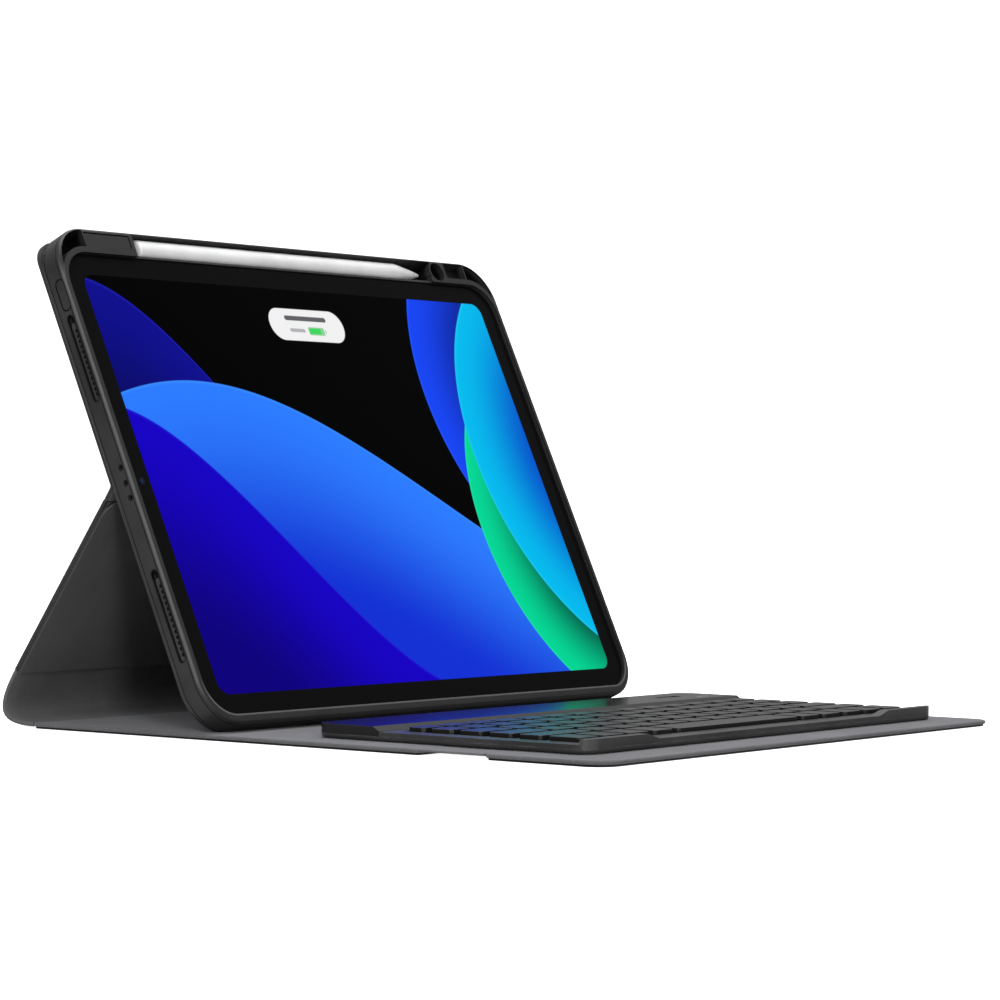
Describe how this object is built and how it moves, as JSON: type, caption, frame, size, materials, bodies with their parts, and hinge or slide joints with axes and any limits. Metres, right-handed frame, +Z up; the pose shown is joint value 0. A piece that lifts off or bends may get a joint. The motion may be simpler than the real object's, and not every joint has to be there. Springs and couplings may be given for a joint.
{
  "type": "tablet keyboard case",
  "caption": "Folding tablet keyboard case on its stand: pen tray, leaning tablet with stylus, soft cover panels and a thin lift-off keyboard.",
  "frame": {"origin": "centre of the footprint on the table, under the base panel", "axes": "+Z up, -Y towards the user, +X to the user's right along the screen's width"},
  "size_m": [0.2524, 0.263, 0.1773],
  "materials": {
    "cover_leather": "fine grained, matt",
    "microfibre_lining": "short nap",
    "stiffener_board": "plain",
    "tray_plastic": "fine matt",
    "button_plastic": "satin",
    "keyboard_plastic": "satin",
    "key_plastic": "satin",
    "rear_cover_gloss": "polished",
    "screen_glass": "polished, black behind",
    "camera_glass": "polished, black behind",
    "tablet_metal": "fine blasted, dark grey",
    "stylus_white": "polished",
    "magnet_metal": "nickel plated",
    "support_metal": "plain sheet",
    "port_metal": "satin",
    "membrane_film": "plain film",
    "battery_wrap": "plain",
    "circuit_laminate": "plain",
    "lens_clear": "polished"
  },
  "bodies": {
    "base": {"base_skin": "cover_leather", "base_board": "stiffener_board", "base_lining": "microfibre_lining", "dock_magnet_left": "magnet_metal", "dock_magnet_right": "magnet_metal", "foot_magnet_strip": "magnet_metal", "spine_strip": "cover_leather", "flap_crease_strip": "microfibre_lining"},
    "flap": {"flap_skin": "cover_leather", "flap_board": "stiffener_board", "flap_lining": "microfibre_lining", "flap_magnet": "magnet_metal"},
    "lower_back": {"lower_back_skin": "cover_leather", "lower_back_board": "stiffener_board", "lower_back_lining": "microfibre_lining", "mid_crease_strip": "cover_leather"},
    "tray": {"tray_shell": "tray_plastic", "upper_back_skin": "cover_leather", "upper_back_board": "stiffener_board"},
    "power_button_body": {"power_button": "button_plastic"},
    "volume_up_button_body": {"volume_up_button": "button_plastic"},
    "volume_down_button_body": {"volume_down_button": "button_plastic"},
    "tablet": {"tablet_housing": "tablet_metal", "tablet_glass": "screen_glass", "camera_island": "camera_glass"},
    "stylus": {"stylus_barrel": "stylus_white", "stylus_tip": "stylus_white"},
    "keyboard": {"keyboard_bottom_shell": "keyboard_plastic", "keyboard_deck": "keyboard_plastic", "keyboard_rear_cover": "rear_cover_gloss", "key_support_plate": "support_metal", "key_membrane": "membrane_film", "keyboard_battery": "battery_wrap", "circuit_board": "circuit_laminate", "keyboard_magnet_left": "magnet_metal", "keyboard_magnet_right": "magnet_metal", "charge_port": "port_metal", "indicator_lens": "lens_clear"},
    "power_switch_body": {"power_switch": "button_plastic"},
    "function_keys_body": {"function_keys": "key_plastic"},
    "number_keys_body": {"number_keys": "key_plastic"},
    "backspace_key_body": {"backspace_key": "key_plastic"},
    "tab_key_body": {"tab_key": "key_plastic"},
    "top_letter_keys_body": {"top_letter_keys": "key_plastic"},
    "caps_lock_key_body": {"caps_lock_key": "key_plastic"},
    "home_letter_keys_body": {"home_letter_keys": "key_plastic"},
    "enter_key_body": {"enter_key": "key_plastic"},
    "left_shift_key_body": {"left_shift_key": "key_plastic"},
    "lower_letter_keys_body": {"lower_letter_keys": "key_plastic"},
    "right_shift_key_body": {"right_shift_key": "key_plastic"},
    "fn_key_body": {"fn_key": "key_plastic"},
    "control_key_body": {"control_key": "key_plastic"},
    "left_alt_key_body": {"left_alt_key": "key_plastic"},
    "left_meta_key_body": {"left_meta_key": "key_plastic"},
    "space_bar_body": {"space_bar": "key_plastic"},
    "right_meta_key_body": {"right_meta_key": "key_plastic"},
    "right_alt_key_body": {"right_alt_key": "key_plastic"},
    "left_arrow_key_body": {"left_arrow_key": "key_plastic"},
    "vertical_arrow_key_body": {"vertical_arrow_key": "key_plastic"},
    "right_arrow_key_body": {"right_arrow_key": "key_plastic"}
  },
  "joints": [
    {"name": "flap_fold", "type": "hinge", "parent": "base", "child": "flap", "pos_m": [0, -0.0713, 0.0021], "axis": [-1, 0, 0], "range_deg": [0, 90], "deforming": ["flap_crease_strip"]},
    {"name": "spine_fold", "type": "hinge", "parent": "base", "child": "lower_back", "pos_m": [0, 0.12885, 0.006], "axis": [1, 0, 0], "range_deg": [-125.44, 0], "deforming": ["spine_strip"]},
    {"name": "mid_fold", "type": "hinge", "parent": "lower_back", "child": "tray", "pos_m": [0, 0.07806, 0.08287], "axis": [1, 0, 0], "range_deg": [0, 60.5], "deforming": ["mid_crease_strip"]},
    {"name": "tablet_lift_out", "type": "slide", "parent": "tray", "child": "tablet", "axis": [0, -0.9078, 0.4195], "range_m": [0, 0.03]},
    {"name": "stylus_lift_out", "type": "slide", "parent": "tray", "child": "stylus", "axis": [0, -0.9078, 0.4195], "range_m": [0, 0.03]},
    {"name": "power_button_press", "type": "slide", "parent": "tray", "child": "power_button_body", "axis": [1, 0, 0], "range_m": [0, 0.0005], "stiffness_N_per_m": 300, "springref_m": -0.0002},
    {"name": "volume_up_press", "type": "slide", "parent": "tray", "child": "volume_up_button_body", "axis": [0, -0.4195, -0.9078], "range_m": [0, 0.0005], "stiffness_N_per_m": 300, "springref_m": -0.0002},
    {"name": "volume_down_press", "type": "slide", "parent": "tray", "child": "volume_down_button_body", "axis": [0, -0.4195, -0.9078], "range_m": [0, 0.0005], "stiffness_N_per_m": 300, "springref_m": -0.0002},
    {"name": "keyboard_lift", "type": "slide", "parent": "base", "child": "keyboard", "axis": [0, 0, 1], "range_m": [0, 0.09]},
    {"name": "power_switch_slide", "type": "slide", "parent": "keyboard", "child": "power_switch_body", "axis": [1, 0, 0], "range_m": [0, 0.003]},
    {"name": "function_keys_press", "type": "slide", "parent": "keyboard", "child": "function_keys_body", "axis": [0, 0, -1], "range_m": [0, 0.0012], "stiffness_N_per_m": 200, "springref_m": -0.0003},
    {"name": "number_keys_press", "type": "slide", "parent": "keyboard", "child": "number_keys_body", "axis": [0, 0, -1], "range_m": [0, 0.0012], "stiffness_N_per_m": 200, "springref_m": -0.0003},
    {"name": "backspace_key_press", "type": "slide", "parent": "keyboard", "child": "backspace_key_body", "axis": [0, 0, -1], "range_m": [0, 0.0012], "stiffness_N_per_m": 200, "springref_m": -0.0003},
    {"name": "tab_key_press", "type": "slide", "parent": "keyboard", "child": "tab_key_body", "axis": [0, 0, -1], "range_m": [0, 0.0012], "stiffness_N_per_m": 200, "springref_m": -0.0003},
    {"name": "top_letter_keys_press", "type": "slide", "parent": "keyboard", "child": "top_letter_keys_body", "axis": [0, 0, -1], "range_m": [0, 0.0012], "stiffness_N_per_m": 200, "springref_m": -0.0003},
    {"name": "caps_lock_key_press", "type": "slide", "parent": "keyboard", "child": "caps_lock_key_body", "axis": [0, 0, -1], "range_m": [0, 0.0012], "stiffness_N_per_m": 200, "springref_m": -0.0003},
    {"name": "home_letter_keys_press", "type": "slide", "parent": "keyboard", "child": "home_letter_keys_body", "axis": [0, 0, -1], "range_m": [0, 0.0012], "stiffness_N_per_m": 200, "springref_m": -0.0003},
    {"name": "enter_key_press", "type": "slide", "parent": "keyboard", "child": "enter_key_body", "axis": [0, 0, -1], "range_m": [0, 0.0012], "stiffness_N_per_m": 200, "springref_m": -0.0003},
    {"name": "left_shift_key_press", "type": "slide", "parent": "keyboard", "child": "left_shift_key_body", "axis": [0, 0, -1], "range_m": [0, 0.0012], "stiffness_N_per_m": 200, "springref_m": -0.0003},
    {"name": "lower_letter_keys_press", "type": "slide", "parent": "keyboard", "child": "lower_letter_keys_body", "axis": [0, 0, -1], "range_m": [0, 0.0012], "stiffness_N_per_m": 200, "springref_m": -0.0003},
    {"name": "right_shift_key_press", "type": "slide", "parent": "keyboard", "child": "right_shift_key_body", "axis": [0, 0, -1], "range_m": [0, 0.0012], "stiffness_N_per_m": 200, "springref_m": -0.0003},
    {"name": "fn_key_press", "type": "slide", "parent": "keyboard", "child": "fn_key_body", "axis": [0, 0, -1], "range_m": [0, 0.0012], "stiffness_N_per_m": 200, "springref_m": -0.0003},
    {"name": "control_key_press", "type": "slide", "parent": "keyboard", "child": "control_key_body", "axis": [0, 0, -1], "range_m": [0, 0.0012], "stiffness_N_per_m": 200, "springref_m": -0.0003},
    {"name": "left_alt_key_press", "type": "slide", "parent": "keyboard", "child": "left_alt_key_body", "axis": [0, 0, -1], "range_m": [0, 0.0012], "stiffness_N_per_m": 200, "springref_m": -0.0003},
    {"name": "left_meta_key_press", "type": "slide", "parent": "keyboard", "child": "left_meta_key_body", "axis": [0, 0, -1], "range_m": [0, 0.0012], "stiffness_N_per_m": 200, "springref_m": -0.0003},
    {"name": "space_bar_press", "type": "slide", "parent": "keyboard", "child": "space_bar_body", "axis": [0, 0, -1], "range_m": [0, 0.0012], "stiffness_N_per_m": 200, "springref_m": -0.0003},
    {"name": "right_meta_key_press", "type": "slide", "parent": "keyboard", "child": "right_meta_key_body", "axis": [0, 0, -1], "range_m": [0, 0.0012], "stiffness_N_per_m": 200, "springref_m": -0.0003},
    {"name": "right_alt_key_press", "type": "slide", "parent": "keyboard", "child": "right_alt_key_body", "axis": [0, 0, -1], "range_m": [0, 0.0012], "stiffness_N_per_m": 200, "springref_m": -0.0003},
    {"name": "left_arrow_key_press", "type": "slide", "parent": "keyboard", "child": "left_arrow_key_body", "axis": [0, 0, -1], "range_m": [0, 0.0012], "stiffness_N_per_m": 200, "springref_m": -0.0003},
    {"name": "vertical_arrow_key_press", "type": "slide", "parent": "keyboard", "child": "vertical_arrow_key_body", "axis": [0, 0, -1], "range_m": [0, 0.0012], "stiffness_N_per_m": 200, "springref_m": -0.0003},
    {"name": "right_arrow_key_press", "type": "slide", "parent": "keyboard", "child": "right_arrow_key_body", "axis": [0, 0, -1], "range_m": [0, 0.0012], "stiffness_N_per_m": 200, "springref_m": -0.0003}
  ],
  "couplings": [
    {"joint": "mid_fold", "follows": "spine_fold", "ratio": -0.4802},
    {"joint": "flap_fold", "follows": "keyboard_lift", "rad_per_m": 17.45}
  ]
}
